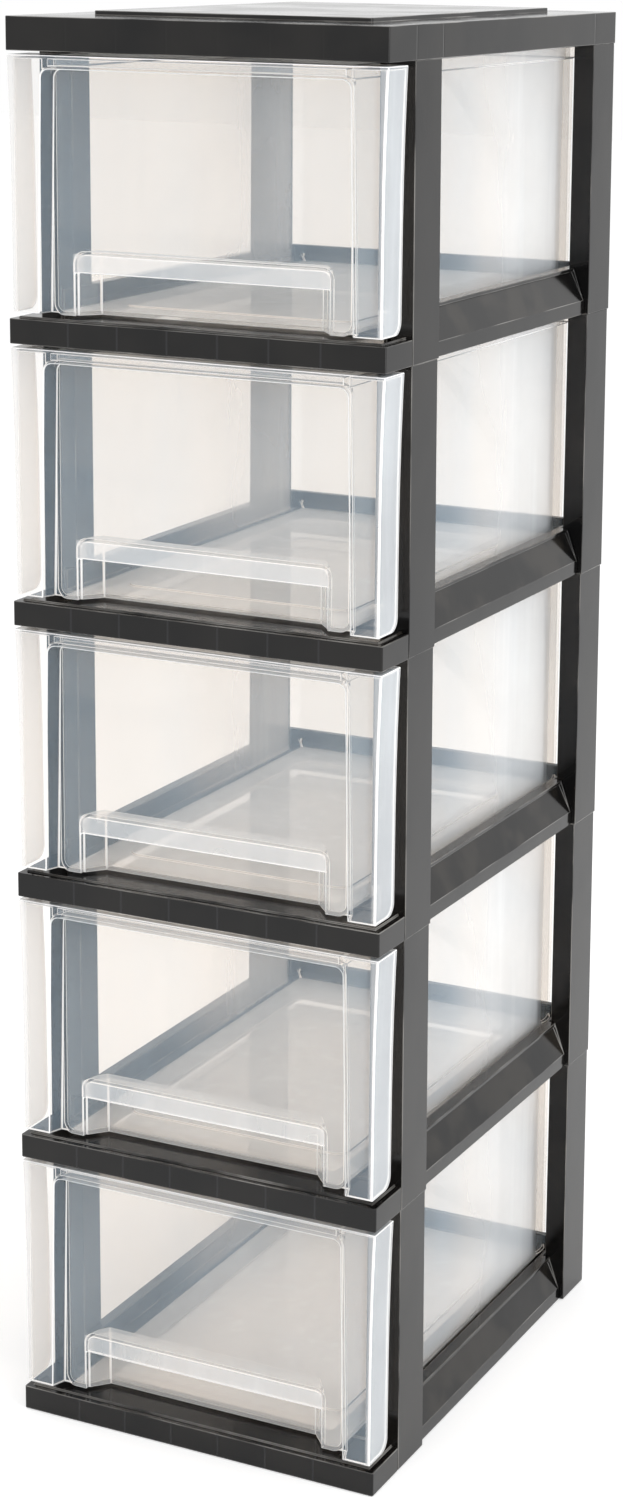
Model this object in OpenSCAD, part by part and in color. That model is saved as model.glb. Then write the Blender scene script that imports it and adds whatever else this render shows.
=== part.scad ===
// Plastic drawer tower: five clear drawers in a black frame of shelf frames,
// corner posts and a top cover. Millimetres, +Z up. X is the width, the drawers
// open towards -Y, and the origin is on the floor at the middle of the footprint.

/* [Tower] */
// Width over the shelf frames and the cover
body_w = 280; // [264:1:330]
// Depth from the front of the shelf frames to the back of the cover
body_d = 381; // [330:1:440]
// Height from one shelf frame to the next
tier_pitch = 194; // [170:1:230]
// Wall of the black mouldings
frame_wall = 2.4; // [2:0.1:2.8]
// Radius of the upright corners of the cover and the front bars
corner_r = 1.5; // [0.5:0.25:4]

/* [Top cover] */
// Height of the cover's skirt
cover_h = 22.4; // [18:0.2:30]
// Distance from each side of the cover to its raised platform
platform_side = 37; // [20:1:60]
// Distance from the cover's front to the platform
platform_front = 51; // [30:1:70]
// Distance from the cover's back to the platform
platform_back = 39; // [20:1:60]
// Height of the raised platform over the cover
platform_h = 3; // [1:0.2:6]
// Corner radius of the platform
platform_r = 3; // [1:0.5:8]
// Distance between the ribs behind the front skirt
rib_pitch = 37.6; // [30:0.2:50]
// Thickness of the ribs
rib_t = 1.6; // [1:0.1:2.2]

/* [Shelf frame] */
// Height of the bar across the front
bar_h = 17.1; // [14:0.1:18]
// Height of the tray step behind the bar's edge
step_h = 1.3; // [0.5:0.1:2]
// Distance from the bar's front to the tray step
step_setback = 5; // [3:0.5:10]
// Height of the side rails
rail_h = 33.5; // [28:0.5:45]
// Width of the flat top of the side rails
rail_top_w = 8.5; // [6:0.5:10]
// Height of the upright band at the foot of the side rails
rail_band_h = 10; // [6:0.5:14]
// Distance of the rails' outer face inside the posts' outer face
rail_inset = 3.2; // [2:0.1:4]
// Gap between the frames' inner side walls and the posts
ring_gap = 1.6; // [0.5:0.1:2.5]
// Thickness of the rails' top flange
flange_t = 2.6; // [2:0.1:4]
// How far the sloped face lies under the top flange's edge
slope_undercut = 1.8; // [1:0.1:3]
// Width of the side runners that the drawers slide on
runner_w = 30; // [18:1:36]
// Width of the ledge along the back
back_ledge_w = 24; // [10:1:32]
// Thickness of the runners
runner_t = 2.7; // [2:0.1:4]
// Depth of the bar across the back
back_bar_d = 5; // [4:0.2:8]

/* [Posts] */
// Width of a post
post_w = 16; // [15:0.5:20]
// Depth of a post
post_d = 40; // [34:1:50]
// Thickness of the guide flange on the front posts
guide_t = 2.5; // [2:0.1:4]
// Gap between the guide flanges and the rim of a drawer, each side
guide_gap = 1.1; // [0.5:0.1:2.5]
// Gap between a guide flange's foot and the side rail
guide_foot_gap = 1; // [0.5:0.1:3]
// How much a post narrows on its outer faces from foot to head
post_draft = 0.7; // [0:0.1:1]
// Wall of the posts
post_wall = 2.2; // [1.8:0.1:2.4]
// Distance from the front of the tower to the front posts
post_setback = 41; // [36:0.5:50]
// Height of the spigot on a post's head
spigot_h = 14; // [8:0.5:17]
// Wall of the spigots and of the sockets that they enter
socket_wall = 1.5; // [1.2:0.1:1.8]
// Thickness of the plate that closes a post's head
head_t = 3; // [2:0.1:5]
// Clearance all round a post's socket and spigot
plug_gap = 0.3; // [0.2:0.05:0.5]
// Width of the web that ties a socket to the shelf frame
web_w = 12; // [8:0.5:18]
// Height of that web
web_h = 27.5; // [18:0.5:27.5]

/* [Drawer] */
// Gap under the front of a drawer, from the foot of its shelf frame
front_lift = 21.5; // [21:0.5:26]
// Gap between the top of a drawer and the frame over it
top_gap = 2.5; // [2:0.1:6]
// Running gap between a drawer and its runners
runner_gap = 0.3; // [0.2:0.05:0.8]
// Height of the runners' top over the foot of the shelf frame
runner_z = 19.7; // [19.2:0.1:20.5]
// Distance of the drawer fronts behind the front bars
front_setback = 0.5; // [0.2:0.1:2]
// Distance from a drawer front's top to the frame's side, each side
front_side_gap = 0.2; // [0.2:0.1:3]
// How much each side of a drawer front flares out from its foot to its top
front_flare = 2.6; // [0:0.1:4]
// Wall of the drawers
drawer_wall = 2; // [1.6:0.1:2.4]
// Depth of the side flanges of a drawer front
side_flange_d = 28.5; // [20:0.5:32]
// Radius of the side flanges' lower back corner
side_flange_r = 9; // [4:0.5:14]
// Width of the column on each side of the window, at its foot
column_w = 20.7; // [16:0.1:30]
// How much each side of the window leans in from its foot to its top
window_lean = 3; // [0:0.1:6]
// How much each side of the window slopes in to its panel
window_slope = 4; // [1:0.5:6]
// Depth of the window panel behind the columns
window_depth = 10.5; // [6:0.5:14]
// Height of the band over the window
top_band_h = 9; // [6:0.5:14]
// Radius of the window's upper corners
window_r = 6; // [2:0.5:12]
// Distance from the box of a drawer to the posts, each side
box_side_gap = 12.5; // [8:0.5:20]
// Gap between the back of a drawer and the back bar
box_back_gap = 1.8; // [1:0.1:8]
// Radius of the box's lower edges
box_edge_r = 8; // [4:0.5:12]
// Radius of the box's upright back corners
box_corner_r = 3; // [3:0.5:16]
// Height of the rim band round the top of the box
rim_h = 8.5; // [5:0.5:14]
// How far the rim band stands out
rim_out = 1.5; // [1:0.1:2]
// Distance from the raised floor panel to the sides of the box
floor_side = 25; // [14:1:40]
// Distance from the raised floor panel to the window panel
floor_front = 48; // [36:1:60]
// Distance from the raised floor panel to the back of the box
floor_back = 42; // [20:1:60]
// Corner radius of the raised floor panel
floor_panel_r = 10; // [4:0.5:20]
// Height of the raised floor panel
floor_panel_h = 1.2; // [0.5:0.1:2]

/* [Finger recess] */
// Distance from the finger recess to the edge of the window panel, each side
recess_side = 18; // [10:0.1:40]
// How much each side of the recess slopes in to its back wall
recess_slope = 11.6; // [2:0.1:20]
// Depth of the finger recess behind the window panel
recess_d = 13; // [10:0.5:16]
// Height of the finger recess over the foot of the drawer front
recess_h = 39.5; // [30:0.5:60]
// Height of the lip that hangs in front of it
lip_h = 12; // [6:0.5:20]
// Radius of the recess's upper corners
recess_r = 6; // [2:0.5:10]

/* [Hidden] */
$fn = 64;
TIERS = 5;
RIBS = 6;
CORNERS = [
  ["front_left", -1, true], ["front_right", 1, true],
  ["rear_left", -1, false], ["rear_right", 1, false]
];

BLACK = [0.06, 0.06, 0.065];
CLEAR = [0.86, 0.88, 0.9, 0.45];
PAST = 1;  // how far a cutting shape runs past the face it cuts
FLARE_STEPS = 12;  // straight stretches in the flared sides of a drawer front

front_y = -body_d / 2;
back_y = body_d / 2;

// Posts. The sockets of the shelf frames and the cover fill their feet.
post_y_front = front_y + post_setback;
post_y_rear = back_y - post_d;
post_in_x = body_w / 2 - post_w;
socket_w = post_w - 2 * (post_wall + plug_gap);
socket_d = post_d - 2 * (post_wall + plug_gap);
spigot_w = socket_w - 2 * (socket_wall + plug_gap);
spigot_d = socket_d - 2 * (socket_wall + plug_gap);
foot_notch_w = web_w + 2 * plug_gap;

// Shelf frames
bar_back_y = post_y_front - plug_gap;
tray_z = bar_h + step_h;
ring_x = post_in_x - ring_gap - frame_wall;
rail_out_x = body_w / 2 - rail_inset;
ring_back_y = back_y - back_bar_d;
rail_front_y = post_y_front + post_d + plug_gap;
rail_back_y = post_y_rear - plug_gap;
socket_h = rail_h - flange_t;

// Drawers, as measured from the foot of their shelf frame
drawer_y = front_y + front_setback;
drawer_top = tier_pitch - top_gap;
box_z = runner_z + runner_gap;
front_top_x = body_w / 2 - front_side_gap;
front_foot_x = front_top_x - front_flare;
window_x = front_foot_x - column_w;
window_top = drawer_top - top_band_h;
panel_y = drawer_y + window_depth;
box_x = post_in_x - box_side_gap;
box_back_y = ring_back_y - box_back_gap - rim_out;
recess_x = window_x - window_slope - recess_side;
recess_top = front_lift + recess_h;
lip_foot = recess_top - lip_h;

// ---------- shapes that repeat ----------

// Rectangle about the origin with round corners
module round_rect(w, d, r) {
  square([w, d - 2 * r], center = true);
  square([w - 2 * r, d], center = true);
  for (x = [-1, 1], y = [-1, 1])
    translate([x * (w / 2 - r), y * (d / 2 - r)]) circle(r);
}

// Upright block between two heights with round corners in plan
module round_block(w, y0, y1, z0, z1, r) {
  translate([0, (y0 + y1) / 2, z0])
    linear_extrude(z1 - z0) round_rect(w, y1 - y0, r);
}

// Block given by its lowest and highest corners
module block(low, high) {
  translate(low) cube(high - low);
}

// Extrudes an X-Z outline along Y from y0 to y1
module along_y(y0, y1) {
  translate([0, y1, 0]) rotate([90, 0, 0]) linear_extrude(y1 - y0) children();
}

// Extrudes a Y-Z outline along X from x0 to x1
module along_x(x0, x1) {
  translate([x0, 0, 0]) rotate([90, 0, 90]) linear_extrude(x1 - x0) children();
}

// A shape and its mirror image on the other side of the tower
module both_sides() {
  children();
  mirror([1, 0, 0]) children();
}

// Tower height of the foot of a tier, counted from 1 at the floor
function tier_z(tier) = (tier - 1) * tier_pitch;

// ---------- posts ----------

// Outline of a post between foot and head, narrower at the head on its outer faces
module post_body(y0) {
  outer = body_w / 2;
  intersection() {
    along_y(y0, y0 + post_d) polygon([
      [post_in_x, 0], [outer, 0], [outer - post_draft, tier_pitch], [post_in_x, tier_pitch]
    ]);
    along_x(post_in_x - PAST, outer + PAST) polygon([
      [y0, 0], [y0 + post_d, 0], [y0 + post_d - post_draft, tier_pitch], [y0, tier_pitch]
    ]);
  }
}

// Right-hand post with its foot at z = 0. Its hollow foot takes the frame's socket,
// a notch in its inner wall clears the socket's web, and its head carries a spigot.
module post(y0, is_front) {
  mid_x = body_w / 2 - post_w / 2;
  mid_y = y0 + post_d / 2;
  hollow_w = post_w - 2 * post_wall;
  hollow_d = post_d - 2 * post_wall;
  difference() {
    post_body(y0);
    translate([mid_x - hollow_w / 2, mid_y - hollow_d / 2, -PAST])
      cube([hollow_w, hollow_d, tier_pitch - head_t + PAST]);
    translate([post_in_x - PAST, mid_y - foot_notch_w / 2, -PAST])
      cube([PAST + post_wall + plug_gap, foot_notch_w, web_h + plug_gap + PAST]);
  }
  difference() {
    translate([mid_x - spigot_w / 2, mid_y - spigot_d / 2, tier_pitch])
      cube([spigot_w, spigot_d, spigot_h]);
    translate([mid_x - spigot_w / 2 + socket_wall, mid_y - spigot_d / 2 + socket_wall, tier_pitch])
      cube([spigot_w - 2 * socket_wall, spigot_d - 2 * socket_wall, spigot_h + PAST]);
  }
  if (is_front)
    block([box_x + rim_out + guide_gap, y0, rail_h + guide_foot_gap],
          [post_in_x, y0 + guide_t, tier_pitch]);
}

// Post of a corner, which is a name, its side (-1 left, 1 right) and whether it is in front
module post_at(corner, tier) {
  side = corner[1];
  is_front = corner[2];
  color(BLACK)
    translate([0, 0, tier_z(tier)])
      mirror([side < 0 ? 1 : 0, 0, 0])
        post(is_front ? post_y_front : post_y_rear, is_front);
}

// ---------- sockets in the post feet ----------

// Tube that takes the spigot of the post below. It fills the foot of the post above,
// and reach_x and reach_y carry its outer faces further out, to the cover's skirt.
module socket(y0, h, reach_x, reach_y) {
  x0 = body_w / 2 - (post_w + socket_w) / 2;
  y_low = y0 + (post_d - socket_d) / 2;
  difference() {
    block([x0, y_low, 0], [x0 + socket_w + reach_x, y_low + socket_d + reach_y, h]);
    block([x0 + socket_wall, y_low + socket_wall, -PAST],
          [x0 + socket_w - socket_wall, y_low + socket_d - socket_wall, h + PAST]);
  }
}

// ---------- shelf frames ----------

// Cross-section of a right-hand side rail: flat top flange, sloped face, upright band
module rail_outline() {
  top_x = ring_x + rail_top_w;
  slope_x = top_x - slope_undercut;
  under_z = rail_h - flange_t;
  polygon([
    [ring_x, 0], [ring_x + frame_wall, 0], [ring_x + frame_wall, under_z],
    [slope_x - frame_wall, under_z], [rail_out_x - frame_wall, rail_band_h],
    [rail_out_x - frame_wall, 0], [rail_out_x, 0], [rail_out_x, rail_band_h],
    [slope_x, under_z], [top_x, under_z], [top_x, rail_h], [ring_x, rail_h]
  ]);
}

// Closed end of a side rail, where it meets a post
module rail_end_outline() {
  polygon([
    [ring_x, 0], [rail_out_x, 0], [rail_out_x, rail_band_h],
    [ring_x + rail_top_w, rail_h], [ring_x, rail_h]
  ]);
}

module side_rail() {
  along_y(rail_front_y, rail_back_y) rail_outline();
  along_y(rail_back_y - frame_wall, rail_back_y) rail_end_outline();
  along_y(rail_front_y, rail_front_y + frame_wall) rail_end_outline();
  block([ring_x, bar_back_y - frame_wall, 0], [ring_x + frame_wall, ring_back_y + frame_wall, rail_h]);
  block([ring_x - runner_w, bar_back_y - frame_wall, runner_z - runner_t],
        [ring_x + frame_wall, ring_back_y + frame_wall, runner_z]);
}

// Bar across the front: a tray on a front wall and side returns, ribbed below
module front_bar() {
  outer = body_w / 2;
  wall_top = bar_h - frame_wall;
  difference() {
    round_block(body_w, front_y, bar_back_y, 0, bar_h, corner_r);
    block([-outer + frame_wall, front_y + frame_wall, -PAST],
          [outer - frame_wall, bar_back_y - frame_wall, wall_top]);
  }
  block([-outer + step_setback, front_y + step_setback, bar_h],
        [outer - step_setback, bar_back_y, tray_z]);
  ribs(wall_top, bar_back_y - frame_wall);
}

// Ribs behind a front wall, spaced evenly about the middle
module ribs(top_z, back) {
  for (n = [0:RIBS - 1]) {
    x0 = (n - (RIBS - 1) / 2) * rib_pitch - rib_t / 2;
    block([x0, front_y + frame_wall, 0], [x0 + rib_t, back, top_z]);
  }
}

// Bar across the back, a channel that is open behind, with the ledge in front of it
module back_bar() {
  edge_x = post_in_x - plug_gap;
  block([-edge_x, ring_back_y, 0], [edge_x, ring_back_y + frame_wall, rail_h]);
  block([-edge_x, ring_back_y, rail_h - flange_t], [edge_x, back_y, rail_h]);
  block([-edge_x, ring_back_y, 0], [edge_x, back_y, frame_wall]);
  block([-ring_x, ring_back_y - back_ledge_w, runner_z - runner_t], [ring_x, ring_back_y, runner_z]);
}

// Socket for a corner post with the web that ties it to the ring
module corner_socket(y0) {
  socket(y0, socket_h, 0, 0);
  block([ring_x, y0 + post_d / 2 - web_w / 2, 0],
        [post_in_x + post_wall + plug_gap, y0 + post_d / 2 + web_w / 2, web_h]);
}

module shelf_frame(tier) {
  color(BLACK)
    translate([0, 0, tier_z(tier)]) {
      front_bar();
      back_bar();
      both_sides() {
        side_rail();
        corner_socket(post_y_front);
        corner_socket(post_y_rear);
      }
    }
}

// ---------- top cover ----------

module top_cover() {
  panel_z = cover_h - frame_wall;
  inner_w = body_w - 2 * frame_wall;
  platform_w = body_w - 2 * platform_side;
  platform_y0 = front_y + platform_front;
  platform_y1 = back_y - platform_back;
  skirt_reach = post_wall + plug_gap - frame_wall / 2;
  color(BLACK)
    translate([0, 0, TIERS * tier_pitch]) {
      difference() {
        union() {
          round_block(body_w, front_y, back_y, 0, cover_h, corner_r);
          round_block(platform_w, platform_y0, platform_y1,
                      cover_h, cover_h + platform_h, platform_r);
        }
        block([-inner_w / 2, front_y + frame_wall, -PAST],
              [inner_w / 2, back_y - frame_wall, panel_z]);
        block([-platform_w / 2 + frame_wall, platform_y0 + frame_wall, panel_z - PAST],
              [platform_w / 2 - frame_wall, platform_y1 - frame_wall, panel_z + platform_h]);
      }
      ribs(panel_z, post_y_front);
      both_sides() {
        socket(post_y_front, panel_z, skirt_reach, 0);
        socket(post_y_rear, panel_z, skirt_reach, skirt_reach);
      }
    }
}

// ---------- drawers ----------

// Half width of a drawer front at a height. It flares ever faster towards the top.
function front_x(z) =
  front_foot_x + front_flare * pow((z - front_lift) / (drawer_top - front_lift), 3);

// Front outline of a drawer, pulled in by inset, from z0 to z1
module front_outline(inset, z0, z1) {
  heights = [for (step = [0:FLARE_STEPS]) z0 + (z1 - z0) * step / FLARE_STEPS];
  right_edge = [for (z = heights) [front_x(z) - inset, z]];
  left_edge = [for (step = [FLARE_STEPS:-1:0]) [inset - front_x(heights[step]), heights[step]]];
  polygon(concat(right_edge, left_edge));
}

// Front shell: face, side flanges with round lower corners and a closed top
module front_shell() {
  back = drawer_y + side_flange_d;
  intersection() {
    difference() {
      along_y(drawer_y, back) front_outline(0, front_lift, drawer_top);
      along_y(drawer_y + drawer_wall, back + PAST)
        front_outline(drawer_wall, front_lift - PAST, drawer_top - drawer_wall);
    }
    along_x(-body_w / 2, body_w / 2) {
      block_2d([drawer_y, front_lift], [back - side_flange_r, drawer_top]);
      block_2d([drawer_y, front_lift + side_flange_r], [back, drawer_top]);
      translate([back - side_flange_r, front_lift + side_flange_r]) circle(side_flange_r);
    }
  }
}

// Rectangle given by its lowest and highest corners
module block_2d(low, high) {
  translate(low) square(high - low);
}

// Outline of a window or recess whose upper corners are round
module arch_outline(w, z0, z1, r) {
  block_2d([-w / 2, z0], [w / 2, z1 - r]);
  block_2d([-w / 2 + r, z0], [w / 2 - r, z1]);
  for (x = [-1, 1]) translate([x * (w / 2 - r), z1 - r]) circle(r);
}

// Outline of a window that leans in towards its round upper corners
module window_outline(foot_x, z0, z1, r) {
  top_x = foot_x - window_lean;
  hull() {
    polygon([[-foot_x, z0], [foot_x, z0], [top_x, z1 - r], [-top_x, z1 - r]]);
    for (x = [-1, 1]) translate([x * (top_x - r), z1 - r]) circle(r);
  }
}

// The window's recess, grown on every side but the front by grow. It widens towards the front.
module window_recess(grow, z0) {
  open_x = window_x + grow;
  panel_x = open_x - window_slope;
  translate([0, panel_y + grow, 0]) rotate([90, 0, 0])
    linear_extrude(window_depth + grow, scale = [open_x / panel_x, 1], slices = 1)
      window_outline(panel_x, z0, window_top + grow, window_r + grow);
}

// Box outline from its three views, pulled in by inset on every side but the top
module box_body(inset) {
  half = box_x - inset;
  y0 = panel_y + inset;
  y1 = box_back_y - inset;
  z0 = box_z + inset;
  z1 = drawer_top + (inset > 0 ? PAST : 0);
  edge = box_edge_r - inset;
  corner = box_corner_r - inset;
  intersection() {
    along_y(y0, y1) mirror([0, 1]) arch_outline(2 * half, -z1, -z0, edge);
    along_x(-half, half) {
      block_2d([y0, z0], [y1 - edge, z1]);
      block_2d([y0, z0 + edge], [y1, z1]);
      translate([y1 - edge, z0 + edge]) circle(edge);
    }
    translate([0, 0, z0]) linear_extrude(z1 - z0) {
      block_2d([-half, y0], [half, y1 - corner]);
      block_2d([-half + corner, y0], [half - corner, y1]);
      for (x = [-1, 1]) translate([x * (half - corner), y1 - corner]) circle(corner);
    }
  }
}

// Band round the top of the box, open at the front where the drawer front is
module rim() {
  y0 = drawer_y + drawer_wall;
  difference() {
    translate([0, 0, drawer_top - rim_h]) linear_extrude(rim_h)
      rim_plan(box_x + rim_out, y0, box_back_y + rim_out, box_corner_r + rim_out);
    translate([0, 0, drawer_top - rim_h - PAST]) linear_extrude(rim_h + 2 * PAST)
      rim_plan(box_x - drawer_wall, y0 - PAST, box_back_y - drawer_wall, box_corner_r - drawer_wall);
  }
}

// Plan of the box with round back corners
module rim_plan(half, y0, y1, r) {
  block_2d([-half, y0], [half, y1 - r]);
  block_2d([-half + r, y0], [half - r, y1]);
  for (x = [-1, 1]) translate([x * (half - r), y1 - r]) circle(r);
}

// Finger recess as a block that stands into the box, grown by grow
module recess_body(grow, z0) {
  front_x = recess_x + grow;
  back_x = front_x - recess_slope;
  y0 = panel_y + drawer_wall;
  y1 = y0 + recess_d + grow;
  top = recess_top + grow;
  intersection() {
    translate([0, 0, z0]) linear_extrude(top - z0)
      polygon([[-front_x, y0], [front_x, y0], [back_x, y1], [-back_x, y1]]);
    along_y(y0 - PAST, y1 + PAST) arch_outline(2 * front_x, z0, top, recess_r + grow);
  }
}

// Flat centre of the floor, raised over the channel round it
module floor_panel(z0, z1, inset) {
  round_block(2 * (box_x - floor_side - inset), panel_y + floor_front + inset,
              box_back_y - floor_back - inset, z0, z1, floor_panel_r - inset);
}

// A drawer in one piece, measured from the foot of its shelf frame
module drawer_body() {
  floor_top = box_z + drawer_wall;
  difference() {
    union() {
      difference() {
        union() {
          front_shell();
          box_body(0);
        }
        box_body(drawer_wall);
      }
      window_recess(drawer_wall, front_lift);
      rim();
      recess_body(drawer_wall, box_z);
      floor_panel(box_z + drawer_wall / 2, floor_top + floor_panel_h, 0);
    }
    window_recess(0, front_lift - PAST);
    recess_body(0, box_z - PAST);
    floor_panel(box_z - PAST, box_z + floor_panel_h, drawer_wall / 2);
    along_y(panel_y - PAST, panel_y + drawer_wall + PAST)
      block_2d([-recess_x, box_z - PAST], [recess_x, lip_foot]);
  }
}

module drawer(tier) {
  color(CLEAR) translate([0, 0, tier_z(tier)]) drawer_body();
}

// ---------- the pieces ----------

top_cover();
shelf_frame(1);  // base_frame
for (tier = [2:TIERS])
  shelf_frame(tier);
for (corner = CORNERS, tier = [1:TIERS])
  post_at(corner, tier);
for (tier = [1:TIERS])
  drawer(tier);
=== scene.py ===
"""Looks of a plastic drawer tower: five clear drawers in a black frame."""

import math

import bmesh
import bpy
from mathutils import Matrix, Vector


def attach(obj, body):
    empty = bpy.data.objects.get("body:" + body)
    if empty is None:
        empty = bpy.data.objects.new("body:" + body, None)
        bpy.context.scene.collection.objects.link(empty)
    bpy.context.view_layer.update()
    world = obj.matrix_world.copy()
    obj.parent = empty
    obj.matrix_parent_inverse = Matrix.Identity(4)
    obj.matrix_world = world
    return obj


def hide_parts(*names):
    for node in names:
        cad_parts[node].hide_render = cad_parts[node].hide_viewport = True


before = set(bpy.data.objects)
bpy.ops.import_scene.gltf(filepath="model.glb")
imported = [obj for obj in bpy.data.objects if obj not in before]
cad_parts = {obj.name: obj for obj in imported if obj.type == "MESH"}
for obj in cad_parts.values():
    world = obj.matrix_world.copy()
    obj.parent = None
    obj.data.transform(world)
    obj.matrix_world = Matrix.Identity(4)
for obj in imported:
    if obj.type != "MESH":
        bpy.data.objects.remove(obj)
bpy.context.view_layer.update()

MM = 0.001
TIERS = 5
TIER_PITCH = 194 * MM
BODY = "tower"
CORNERS = ("front_left", "front_right", "rear_left", "rear_right")

# Rounding of sharp edges; shorter edges of the drawers are merged first
SHARP = math.radians(25)
ROUND_STEPS = 2
BLACK_ROUND = 0.5 * MM
DRAWER_ROUND = 0.6 * MM
DRAWER_MERGE = 0.16 * MM

# Sink marks on the black parts
RIB_PITCH = 37.6 * MM
RIB_REACH = 3 * RIB_PITCH
RIB_FRONT_Y = -189 * MM
RIB_MARK = 1.3 * MM
COVER_FOOT = 970 * MM
SOCKET_EDGES = (-149.5 * MM, -109.5 * MM, 150.5 * MM)
SOCKET_MARK = 1.1 * MM
MARK_DEPTH = 0.14 * MM
# Share of the painted sheen line that marks the sink marks over the ribs on the bars
BAR_SHEEN_SHARE = 0.3

# Surface of the black parts
BLACK_IOR = 1.4
BLACK_ROUGHNESS = 0.09
MOTTLE_ROUGHNESS = 0.06
SCUFF_ROUGHNESS = 0.08
WAVE_HEIGHT = 0.15 * MM

# Haze of the drawers: where it grows, and how many times the plain wall's haze it is there
WALL_HAZE = 0.09
EDGE_HAZE = 0.8
LIP = (49 * MM, 61 * MM)
LIP_HALF = 95 * MM
LIP_Y = -176 * MM
LIP_HAZE = 3.2
FLOOR_HAZE = 4
# The flanges' extra haze and whiteness are partly painted light, for light reflected inside the flange
FLANGE_X = 134.5 * MM
FLANGE_PAINTED_GLOW_HAZE = 3.2
# The side walls' extra haze and whiteness are partly painted light, for the light falling on the sides
SIDE_Y = (-60 * MM, 110 * MM)
SIDE_PAINTED_LIGHT_HAZE = 3
CORNER_Y = (150 * MM, 164 * MM)
NO_LIMIT = 9
# The rear wall's extra haze and whiteness are partly painted light, for light from behind spreading in the
# wall
REAR_WALL_Y = 178 * MM
REAR_PAINTED_GLOW_HAZE = 1.3
WHITE_HAZE = 2.2
SOFTLY = 1.5 * MM
RIPPLE_HEIGHT = 0.05 * MM

# Skin of the drawers: what it mirrors head on, what a slant adds, and its roughness
HEAD_ON_SHINE = 0.024
SLANT_SHINE = 0.3
SKIN_ROUGHNESS = 0.03

# How much more haze a slanted look meets, and the share of haze and skin that soft light is spared
SLANT_HAZE = 1.5
SOFT_LIGHT_SPARED = 0.9

# Colours
WHITE = (1, 1, 1, 1)
FLOOR_GREY = (0.8, 0.8, 0.8, 1)
FLOOR_MATT = (0.75, 0.75, 0.75, 1)
FLOOR_GLOW = 0.3
BLACK = (0.0015, 0.0015, 0.0017, 1)
BLACK_LIGHTEST = (0.007, 0.0062, 0.0055, 1)
# Lightest colour of the rounded black edges: a painted highlight
EDGE_HIGHLIGHT_LIGHTEST = (0.2, 0.195, 0.185, 1)
DUST = (0.036, 0.031, 0.025, 1)
# Lighter line over the ribs on the bars: a painted sheen for the sink marks
BAR_MARK_PAINTED_SHEEN = (0.05, 0.052, 0.058, 1)
CLOUDY = (0.6, 0.8, 1, 1)
# Whiter haze colour where the plastic is thicker, and painted light where it is whiter on the flanges, side
# walls and rear wall
THICK_AND_PAINTED_LIGHT_HAZE = (0.84, 0.9, 0.96, 1)
CLEAR_TINT = (1, 0.971, 0.941, 1)
# Grey of the sideways rows of the drawers' rounded edges: a painted dark edge line
EDGE_PAINTED_SHADE = (0.3, 0.31, 0.32, 1)

# Camera, in metres and degrees
EYE = (0.9594, -1.8980, 1.0585)
LOOK_AZIMUTH = 25.884
LOOK_DOWN = 12.205
ROLL = 0.608
LENS = 72.68
SHIFT = (-0.0392, -0.1192)

# Lamps, in watts and metres
LAMP_POWER = 22
LAMP_TARGET = (0, 0, 0.5)


# ---------- nodes ----------


def new_node(nodes, kind, **settings):
    """A node with some of its settings changed."""
    node = nodes.new("ShaderNode" + kind)
    for name, value in settings.items():
        setattr(node, name, value)
    return node


def fill(links, socket, value):
    """Links a socket to an input, or sets the input to a value."""
    if isinstance(value, bpy.types.NodeSocket):
        links.new(value, socket)
    else:
        socket.default_value = value


def calc(nodes, links, operation, *values):
    node = new_node(nodes, "Math", operation=operation)
    for socket, value in zip(node.inputs, values):
        fill(links, socket, value)
    return node.outputs[0]


def ramp(nodes, links, value, low, high, to_low=0, to_high=1):
    """A value carried smoothly from one range to another."""
    node = new_node(nodes, "MapRange", interpolation_type="SMOOTHSTEP")
    fill(links, node.inputs["Value"], value)
    for name, number in (("From Min", low), ("From Max", high), ("To Min", to_low), ("To Max", to_high)):
        node.inputs[name].default_value = number
    return node.outputs["Result"]


def noise(nodes, links, place, scale, detail=2, stretch=(1, 1, 1)):
    spread = new_node(nodes, "Mapping")
    spread.inputs["Scale"].default_value = stretch
    links.new(place, spread.inputs["Vector"])
    node = new_node(nodes, "TexNoise")
    node.inputs["Scale"].default_value = scale
    node.inputs["Detail"].default_value = detail
    links.new(spread.outputs[0], node.inputs["Vector"])
    return node.outputs["Fac"]


def blend_colour(nodes, links, mask, first, second):
    node = new_node(nodes, "Mix", data_type="RGBA")
    fill(links, node.inputs["Factor"], mask)
    fill(links, node.inputs["A"], first)
    fill(links, node.inputs["B"], second)
    return node.outputs["Result"]


def bumped(nodes, links, height):
    """Normal of a surface with small heights, in metres."""
    bump = new_node(nodes, "Bump")
    bump.inputs["Distance"].default_value = 1
    links.new(height, bump.inputs["Height"])
    return bump.outputs[0]


def new_group(name, given, results):
    """An empty node group whose sockets are given as names and kinds."""
    group = bpy.data.node_groups.new(name, "ShaderNodeTree")
    for way, sockets in (("INPUT", given), ("OUTPUT", results)):
        for socket, kind in sockets.items():
            group.interface.new_socket(socket, in_out=way, socket_type="NodeSocket" + kind)
    return group, group.nodes.new("NodeGroupInput"), group.nodes.new("NodeGroupOutput")


# ---------- stage ----------


def add_camera():
    data = bpy.data.cameras.new("camera")
    data.lens = LENS
    data.sensor_width = 36
    data.shift_x, data.shift_y = SHIFT
    data.clip_start, data.clip_end = 0.05, 60
    camera = bpy.data.objects.new("camera", data)
    bpy.context.scene.collection.objects.link(camera)
    azimuth, down = math.radians(LOOK_AZIMUTH), math.radians(LOOK_DOWN)
    forward = Vector((
        -math.sin(azimuth) * math.cos(down),
        math.cos(azimuth) * math.cos(down),
        -math.sin(down),
    ))
    level = forward.to_track_quat("-Z", "Y").to_matrix().to_4x4()
    camera.matrix_world = Matrix.Translation(EYE) @ level @ Matrix.Rotation(math.radians(ROLL), 4, "Z")
    bpy.context.scene.camera = camera


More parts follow.
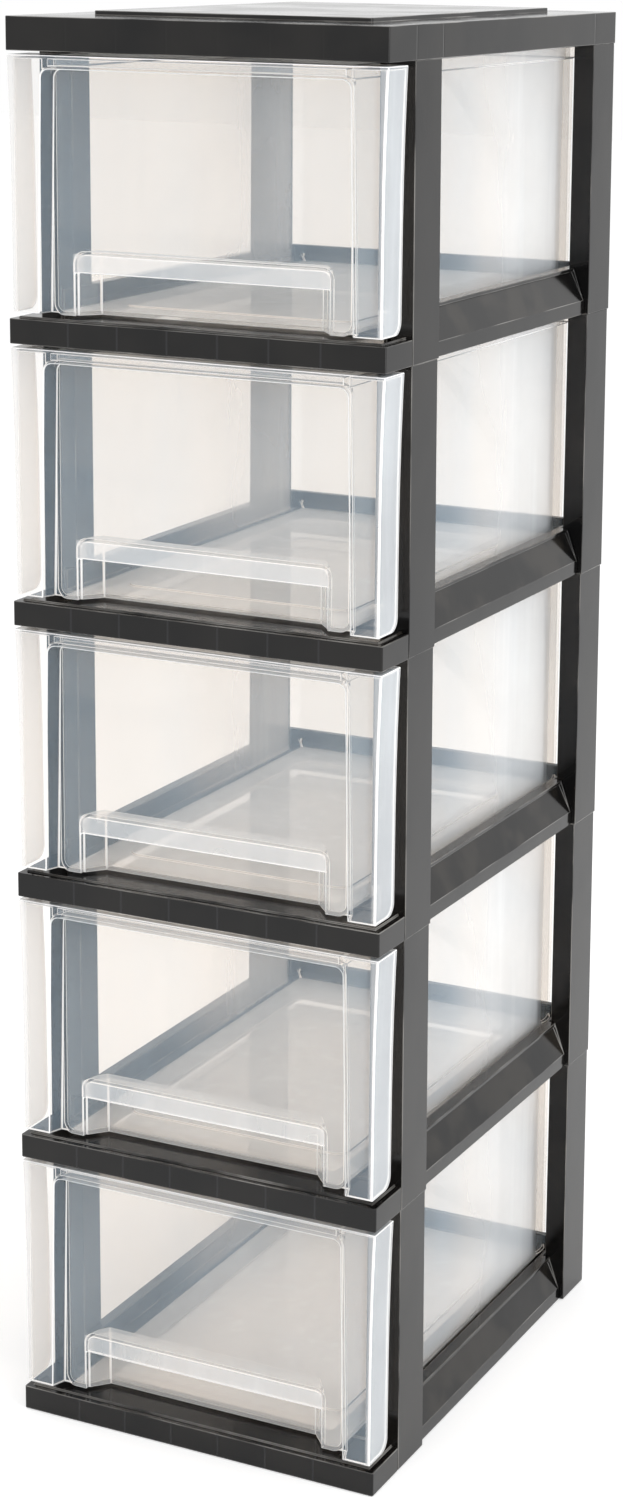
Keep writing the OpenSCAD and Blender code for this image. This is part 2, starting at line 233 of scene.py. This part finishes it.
def add_lamp(name, place, size):
    """A soft rectangular lamp that points at the middle of the tower."""
    data = bpy.data.lights.new(name, "AREA")
    data.shape = "RECTANGLE"
    data.size, data.size_y = size
    data.energy = LAMP_POWER
    lamp = bpy.data.objects.new(name, data)
    bpy.context.scene.collection.objects.link(lamp)
    aim = Vector(LAMP_TARGET) - Vector(place)
    lamp.matrix_world = Matrix.Translation(place) @ aim.to_track_quat("-Z", "Y").to_matrix().to_4x4()


def seen_white(nodes, links):
    """Mask of the rays that show the background: from the camera, mirrored and passed through."""
    path = nodes.new("ShaderNodeLightPath")
    direct = calc(nodes, links, "MAXIMUM", path.outputs["Is Camera Ray"], path.outputs["Is Glossy Ray"])
    return calc(nodes, links, "MAXIMUM", direct, path.outputs["Is Transmission Ray"])


def set_world():
    """White all round: the background, what polished faces mirror, and plain soft light for the object."""
    world = bpy.data.worlds.new("studio")
    bpy.context.scene.world = world
    world.use_nodes = True
    nodes, links = world.node_tree.nodes, world.node_tree.links
    nodes.clear()
    white = nodes.new("ShaderNodeBackground")
    white.inputs["Color"].default_value = WHITE
    white.inputs["Strength"].default_value = 1
    out = nodes.new("ShaderNodeOutputWorld")
    links.new(white.outputs[0], out.inputs["Surface"])


def floor_material():
    """Pale floor that keeps the object's shadow and meets the white background without a seam."""
    material = bpy.data.materials.new("floor")
    material.use_nodes = True
    nodes, links = material.node_tree.nodes, material.node_tree.links
    nodes.clear()
    out = nodes.new("ShaderNodeOutputMaterial")
    matt = nodes.new("ShaderNodeBsdfDiffuse")
    matt.inputs["Color"].default_value = FLOOR_MATT
    glow = nodes.new("ShaderNodeEmission")
    glow.inputs["Color"].default_value = WHITE
    glow.inputs["Strength"].default_value = FLOOR_GLOW
    both = nodes.new("ShaderNodeAddShader")
    links.new(matt.outputs[0], both.inputs[0])
    links.new(glow.outputs[0], both.inputs[1])
    plain = nodes.new("ShaderNodeBsdfDiffuse")
    plain.inputs["Color"].default_value = FLOOR_GREY
    mix = nodes.new("ShaderNodeMixShader")
    links.new(seen_white(nodes, links), mix.inputs["Fac"])
    links.new(plain.outputs[0], mix.inputs[1])
    links.new(both.outputs[0], mix.inputs[2])
    links.new(mix.outputs[0], out.inputs["Surface"])
    return material


def add_floor():
    bm = bmesh.new()
    bmesh.ops.create_grid(bm, x_segments=1, y_segments=1, size=12)
    mesh = bpy.data.meshes.new("floor")
    bm.to_mesh(mesh)
    bm.free()
    floor = bpy.data.objects.new("floor", mesh)
    floor.location.z = -0.0005
    bpy.context.scene.collection.objects.link(floor)
    mesh.materials.append(floor_material())


def set_stage():
    scene = bpy.context.scene
    scene.view_settings.view_transform = "Standard"
    scene.cycles.transparent_max_bounces = 24
    add_camera()
    set_world()
    add_floor()
    add_lamp("overhead", (0.3, -0.4, 2.6), (1.6, 1.6))
    add_lamp("right_side", (2.4, -0.6, 1.2), (1.0, 2.0))


# ---------- materials ----------


def principled(name):
    material = bpy.data.materials.new(name)
    material.use_nodes = True
    nodes = material.node_tree.nodes
    return material, nodes, material.node_tree.links, nodes["Principled BSDF"]


def line_at(nodes, links, value, place, half_width):
    """Mask of a soft line where a coordinate passes a place."""
    away = calc(nodes, links, "ABSOLUTE", calc(nodes, links, "SUBTRACT", value, place))
    return ramp(nodes, links, away, half_width, 0)


def facing_axis(nodes, links, axis, either_way=True):
    """How squarely a surface faces along an axis."""
    facing = new_node(nodes, "SeparateXYZ")
    links.new(new_node(nodes, "NewGeometry").outputs["Normal"], facing.inputs[0])
    return calc(nodes, links, "ABSOLUTE", facing.outputs[axis]) if either_way else facing.outputs[axis]


def sink_marks(nodes, links, axes):
    """Masks of the sink marks: over the ribs in front, and over the sockets at the sides."""
    beside = calc(nodes, links, "PINGPONG", axes.outputs["X"], RIB_PITCH / 2)
    ribs = line_at(nodes, links, beside, RIB_PITCH / 2, RIB_MARK)
    inside = calc(nodes, links, "LESS_THAN", calc(nodes, links, "ABSOLUTE", axes.outputs["X"]), RIB_REACH)
    foremost = calc(nodes, links, "LESS_THAN", axes.outputs["Y"], RIB_FRONT_Y)
    front = ramp(nodes, links, facing_axis(nodes, links, "Y"), 0.9, 0.97)
    ribs = calc(nodes, links, "MULTIPLY", calc(nodes, links, "MULTIPLY", ribs, front),
                calc(nodes, links, "MULTIPLY", inside, foremost))
    sockets = 0
    for y in SOCKET_EDGES:
        edge = line_at(nodes, links, axes.outputs["Y"], y, SOCKET_MARK)
        sockets = calc(nodes, links, "MAXIMUM", sockets, edge)
    side = ramp(nodes, links, facing_axis(nodes, links, "X"), 0.9, 0.97)
    return ribs, calc(nodes, links, "MULTIPLY", sockets, side)


def moulded_black_group():
    """Polished black moulding: soft mottling, dust, fine scuffs and faint sink marks over the ribs, dented
    on the cover and shown on the bars as a painted lighter sheen line.
    """
    group, given, out = new_group("moulded black", {"Lightest": "Color"},
                                  {"Colour": "Color", "Roughness": "Float", "Height": "Float"})
    nodes, links = group.nodes, group.links
    place = new_node(nodes, "TexCoord").outputs["Object"]
    axes = new_node(nodes, "SeparateXYZ")
    links.new(place, axes.inputs[0])
    mottle = ramp(nodes, links, noise(nodes, links, place, 16, 3), 0.35, 0.68)
    scuff = ramp(nodes, links, noise(nodes, links, place, 420, 4, (1, 1, 0.2)), 0.55, 0.8)
    ribs, sockets = sink_marks(nodes, links, axes)
    on_cover = calc(nodes, links, "GREATER_THAN", axes.outputs["Z"], COVER_FOOT)
    on_bars = calc(nodes, links, "MULTIPLY", ribs, calc(nodes, links, "SUBTRACT", 1, on_cover))
    marks = calc(nodes, links, "MULTIPLY", calc(nodes, links, "MAXIMUM", ribs, sockets), on_cover)

    colour = blend_colour(nodes, links, mottle, BLACK, given.outputs["Lightest"])
    upward = facing_axis(nodes, links, "Z", False)
    slope = calc(nodes, links, "MULTIPLY", ramp(nodes, links, upward, 0.3, 0.6),
                 ramp(nodes, links, upward, 0.97, 0.85))
    patches = ramp(nodes, links, noise(nodes, links, place, 24, 5), 0.46, 0.6)
    dust = calc(nodes, links, "MULTIPLY", slope, patches)
    colour = blend_colour(nodes, links, dust, colour, DUST)
    # On the bars the sink marks are a painted lighter sheen line, not a dent
    painted_sheen = calc(nodes, links, "MULTIPLY", on_bars, BAR_SHEEN_SHARE)
    links.new(blend_colour(nodes, links, painted_sheen, colour, BAR_MARK_PAINTED_SHEEN), out.inputs["Colour"])

    rough = calc(nodes, links, "MULTIPLY_ADD", mottle, MOTTLE_ROUGHNESS, BLACK_ROUGHNESS)
    links.new(calc(nodes, links, "MULTIPLY_ADD", scuff, SCUFF_ROUGHNESS, rough), out.inputs["Roughness"])
    wave = calc(nodes, links, "MULTIPLY", noise(nodes, links, place, 30, 1), WAVE_HEIGHT)
    links.new(calc(nodes, links, "MULTIPLY_ADD", marks, -MARK_DEPTH, wave), out.inputs["Height"])
    return group


def black_plastic(name, group, lightest):
    """Polished black plastic; a paler lightest colour paints a highlight on the rounded edges."""
    material, nodes, links, shader = principled(name)
    moulded = new_node(nodes, "Group", node_tree=group)
    moulded.inputs["Lightest"].default_value = lightest
    links.new(moulded.outputs["Colour"], shader.inputs["Base Color"])
    links.new(moulded.outputs["Roughness"], shader.inputs["Roughness"])
    shader.inputs["IOR"].default_value = BLACK_IOR
    links.new(bumped(nodes, links, moulded.outputs["Height"]), shader.inputs["Normal"])
    return material


def lip_mask(nodes, links, axes, aside):
    """Mask of the lip above each finger recess."""
    height = calc(nodes, links, "FLOORED_MODULO", axes.outputs["Z"], TIER_PITCH)
    above = ramp(nodes, links, height, LIP[0] - SOFTLY, LIP[0])
    below = ramp(nodes, links, height, LIP[1] + SOFTLY, LIP[1])
    foremost = ramp(nodes, links, axes.outputs["Y"], LIP_Y + 4 * MM, LIP_Y)
    between = ramp(nodes, links, aside, LIP_HALF + 2 * MM, LIP_HALF)
    return calc(nodes, links, "MULTIPLY", calc(nodes, links, "MULTIPLY", above, below),
                calc(nodes, links, "MULTIPLY", foremost, between))


def haze_group():
    """Cloudiness, whiteness and ripples of the clear moulding; the extra haze and whiteness on the flanges,
    side walls and rear wall are partly painted light.
    """
    group, given, out = new_group("clear haze", {"Haze": "Float"},
                                  {"Alpha": "Float", "Height": "Float", "Whiteness": "Float"})
    nodes, links = group.nodes, group.links
    place = new_node(nodes, "TexCoord").outputs["Object"]
    cloud = ramp(nodes, links, noise(nodes, links, place, 9, 3), 0.3, 0.75, 0.92, 1.12)
    streak = ramp(nodes, links, noise(nodes, links, place, 60, 2, (1, 1, 0.08)), 0.5, 0.8, 0.98, 1.12)
    uneven = calc(nodes, links, "MULTIPLY", cloud, streak)
    haze = calc(nodes, links, "MULTIPLY", given.outputs["Haze"], uneven)
    axes = new_node(nodes, "SeparateXYZ")
    links.new(place, axes.inputs[0])
    along = axes.outputs["Y"]
    aside = calc(nodes, links, "ABSOLUTE", axes.outputs["X"])
    # Flanges: extra haze and whiteness, partly painted light
    flange = ramp(nodes, links, aside, FLANGE_X - SOFTLY, FLANGE_X, 1, FLANGE_PAINTED_GLOW_HAZE)
    # Rear wall: extra haze and whiteness, partly painted light
    rear = ramp(nodes, links, along, REAR_WALL_Y - SOFTLY, REAR_WALL_Y, 1, REAR_PAINTED_GLOW_HAZE)
    # Side walls: extra haze and whiteness towards the rear, partly painted light
    side = ramp(nodes, links, along, SIDE_Y[0], SIDE_Y[1], 1, SIDE_PAINTED_LIGHT_HAZE)
    corner = ramp(nodes, links, along, CORNER_Y[0], CORNER_Y[1], NO_LIMIT, 1)
    side = calc(nodes, links, "MINIMUM", side, corner)
    upright = ramp(nodes, links, facing_axis(nodes, links, "X"), 0.6, 0.9)
    side = calc(nodes, links, "MULTIPLY_ADD", calc(nodes, links, "SUBTRACT", side, 1), upright, 1)
    level = ramp(nodes, links, facing_axis(nodes, links, "Z"), 0.8, 0.95, 1, FLOOR_HAZE)
    lip = calc(nodes, links, "MULTIPLY_ADD", lip_mask(nodes, links, axes, aside), LIP_HAZE - 1, 1)
    # Thicker haze on lip and floor; on flanges, side walls and rear wall partly painted light
    thick_and_painted_light = calc(nodes, links, "MAXIMUM", calc(nodes, links, "MAXIMUM", flange, side),
                 calc(nodes, links, "MAXIMUM", level, lip))
    thick_and_painted_light = calc(nodes, links, "MULTIPLY", thick_and_painted_light, rear)
    links.new(calc(nodes, links, "MULTIPLY", haze, thick_and_painted_light), out.inputs["Alpha"])
    links.new(ramp(nodes, links, thick_and_painted_light, 1, WHITE_HAZE), out.inputs["Whiteness"])
    ripple = calc(nodes, links, "MULTIPLY", noise(nodes, links, place, 7, 0), RIPPLE_HEIGHT)
    links.new(ripple, out.inputs["Height"])
    return group


def clear_material(name, group, haze, colour, side_colour, whiter_haze_colour, tint, roughness):
    """Thin clear plastic: part of the light passes straight on, part is scattered, some is mirrored."""
    material, nodes, links, shader = principled(name)
    shader.inputs["Roughness"].default_value = roughness
    shader.inputs["Specular IOR Level"].default_value = 0
    out = nodes["Material Output"]
    cloudy = new_node(nodes, "Group", node_tree=group)
    cloudy.inputs["Haze"].default_value = haze
    # On the rounded drawer edges, front-facing rows take white, a painted highlight, and sideways rows grey,
    # a painted dark line
    front = ramp(nodes, links, facing_axis(nodes, links, "Y"), 0.35, 0.6)
    base = blend_colour(nodes, links, front, side_colour, colour)
    # Whiter haze colour, partly painted light on flanges, side walls and rear wall
    base = blend_colour(nodes, links, cloudy.outputs["Whiteness"], base, whiter_haze_colour)
    links.new(base, shader.inputs["Base Color"])
    open_air = nodes.new("ShaderNodeBsdfTransparent")
    open_air.inputs["Color"].default_value = tint
    facing = new_node(nodes, "LayerWeight")
    facing.inputs["Blend"].default_value = 0.5
    edge_on = calc(nodes, links, "POWER", facing.outputs["Facing"], 4)
    longer = calc(nodes, links, "MULTIPLY_ADD", edge_on, SLANT_HAZE, 1)
    path = nodes.new("ShaderNodeLightPath")
    soft_light = calc(nodes, links, "MAXIMUM", path.outputs["Is Shadow Ray"], path.outputs["Is Diffuse Ray"])
    lets_by = calc(nodes, links, "MULTIPLY_ADD", soft_light, -SOFT_LIGHT_SPARED, 1)
    cover = calc(nodes, links, "MULTIPLY", cloudy.outputs["Alpha"], longer)
    body = nodes.new("ShaderNodeMixShader")
    links.new(calc(nodes, links, "MULTIPLY", calc(nodes, links, "MINIMUM", cover, 1), lets_by),
              body.inputs["Fac"])
    links.new(open_air.outputs[0], body.inputs[1])
    links.new(shader.outputs[0], body.inputs[2])
    mirror = nodes.new("ShaderNodeBsdfGlossy")
    mirror.inputs["Roughness"].default_value = SKIN_ROUGHNESS
    links.new(bumped(nodes, links, cloudy.outputs["Height"]), mirror.inputs["Normal"])
    slant = calc(nodes, links, "POWER", facing.outputs["Facing"], 5)
    skin = nodes.new("ShaderNodeMixShader")
    shine = calc(nodes, links, "MULTIPLY_ADD", slant, SLANT_SHINE, HEAD_ON_SHINE)
    links.new(calc(nodes, links, "MULTIPLY", shine, lets_by), skin.inputs["Fac"])
    links.new(body.outputs[0], skin.inputs[1])
    links.new(mirror.outputs[0], skin.inputs[2])
    links.new(skin.outputs[0], out.inputs["Surface"])
    return material


# ---------- pieces ----------


def softened(node, edge, materials, body, merge=0):
    """A welded copy of a node's solid whose sharp edges are rounded and take the last material."""
    bm = bmesh.new()
    bm.from_mesh(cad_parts[node].data)
    bmesh.ops.remove_doubles(bm, verts=bm.verts, dist=0.002 * MM)
    bmesh.ops.dissolve_limit(bm, angle_limit=math.radians(0.5), verts=bm.verts, edges=bm.edges)
    if merge:
        bmesh.ops.dissolve_degenerate(bm, dist=merge, edges=bm.edges)
    sharp = [e for e in bm.edges if e.is_manifold and e.calc_face_angle() > SHARP]
    rounds = bmesh.ops.bevel(bm, geom=sharp, offset=edge, offset_type="OFFSET", segments=ROUND_STEPS,
                             affect="EDGES", profile=0.5, material=-1, clamp_overlap=False)
    for face in bm.faces:
        face.smooth = True
        face.material_index = 0
    for face in rounds["faces"]:
        face.material_index = len(materials) - 1
    name = node + "_shell"
    mesh = bpy.data.meshes.new(name)
    bm.to_mesh(mesh)
    bm.free()
    piece = bpy.data.objects.new(name, mesh)
    bpy.context.scene.collection.objects.link(piece)
    for material in materials:
        mesh.materials.append(material)
    normals = piece.modifiers.new("flat faces", "WEIGHTED_NORMAL")
    normals.keep_sharp = False
    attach(piece, body)
    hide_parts(node)
    return piece


def make_black_parts():
    group = moulded_black_group()
    plain = black_plastic("black_plastic", group, BLACK_LIGHTEST)
    # The rounded black edges take a paler colour, a painted highlight
    highlighted_edges = black_plastic("black_edges", group, EDGE_HIGHLIGHT_LIGHTEST)
    frames = ["base_frame"] + [f"shelf_{tier}" for tier in range(2, TIERS + 1)]
    posts = [f"{corner}_post_{tier}" for corner in CORNERS for tier in range(1, TIERS + 1)]
    for node in ["top_cover", *frames, *posts]:
        softened(node, BLACK_ROUND, [plain, highlighted_edges], BODY)


def make_drawers():
    group = haze_group()
    wall = clear_material("clear_plastic", group, WALL_HAZE, CLOUDY, CLOUDY, THICK_AND_PAINTED_LIGHT_HAZE, CLEAR_TINT, 0.4)
    # The drawers' rounded edges: white rows are a painted highlight, grey rows a painted dark line
    edges = clear_material("clear_edges", group, EDGE_HAZE, WHITE, EDGE_PAINTED_SHADE, WHITE, WHITE, 0.3)
    for tier in range(1, TIERS + 1):
        node = f"drawer_{tier}"
        softened(node, DRAWER_ROUND, [wall, edges], node, DRAWER_MERGE)


set_stage()
make_black_parts()
make_drawers()
